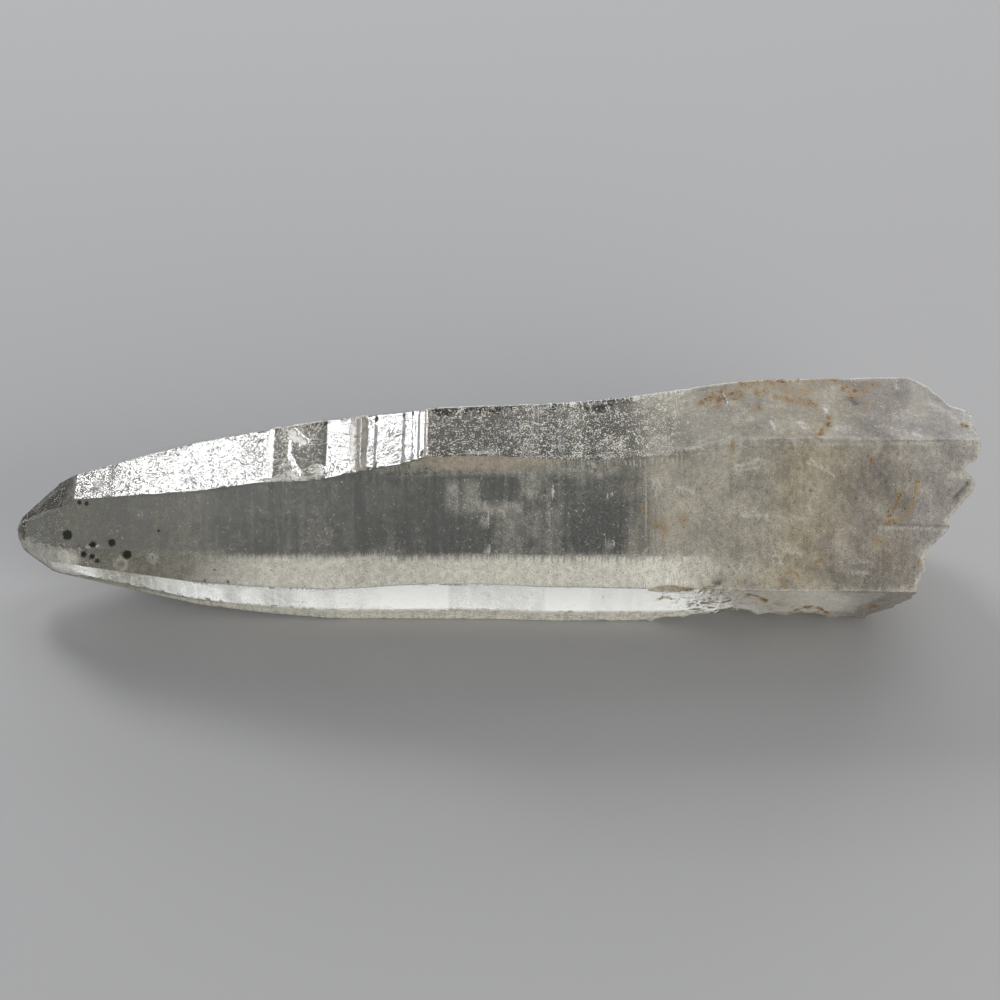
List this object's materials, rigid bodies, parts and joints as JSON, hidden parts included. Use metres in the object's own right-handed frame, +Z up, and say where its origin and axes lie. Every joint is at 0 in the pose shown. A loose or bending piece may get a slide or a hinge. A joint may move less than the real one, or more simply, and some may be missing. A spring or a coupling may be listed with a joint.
{
  "type": "rough quartz crystal",
  "caption": "Long tapering rough quartz crystal lying on a prism face, with a faceted point, stepped side faces and a ragged broken root.",
  "frame": {"origin": "centre of the bounding box's bottom, on the surface the crystal lies on", "axes": "+X from the point to the broken root, along the crystal; +Z up from the face it rests on; +Y to its back"},
  "size_m": [0.089, 0.0228, 0.0197],
  "materials": {
    "quartz": "clear grey to milky natural quartz, bright on the growth faces and frosted at the broken root"
  },
  "bodies": {
    "root": {"quartz_crystal": "quartz"}
  },
  "joints": []
}
